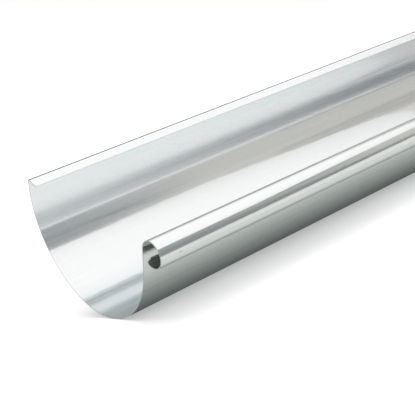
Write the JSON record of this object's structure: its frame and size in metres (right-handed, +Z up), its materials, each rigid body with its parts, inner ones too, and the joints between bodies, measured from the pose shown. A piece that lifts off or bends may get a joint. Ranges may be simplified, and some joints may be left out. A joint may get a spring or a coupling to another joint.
{
  "type": "half-round rain gutter section",
  "caption": "Half-round sheet-steel rain gutter with a rolled bead along the front edge and an inward fold along the back edge, cut square at both ends.",
  "frame": {"origin": "centre of the gutter's box on the floor that it rests on, midway along its length", "axes": "+X along the gutter, -Y towards the front edge with the bead, +Z up from the floor; the section is rolled to the front by its rest angle of 28.7 degrees"},
  "size_m": [2, 0.1441, 0.0983],
  "materials": {
    "galvanised_sheet": "bright galvanised, fine lengthwise rolling marks"
  },
  "bodies": {
    "root": {"gutter": "galvanised_sheet"}
  },
  "joints": []
}
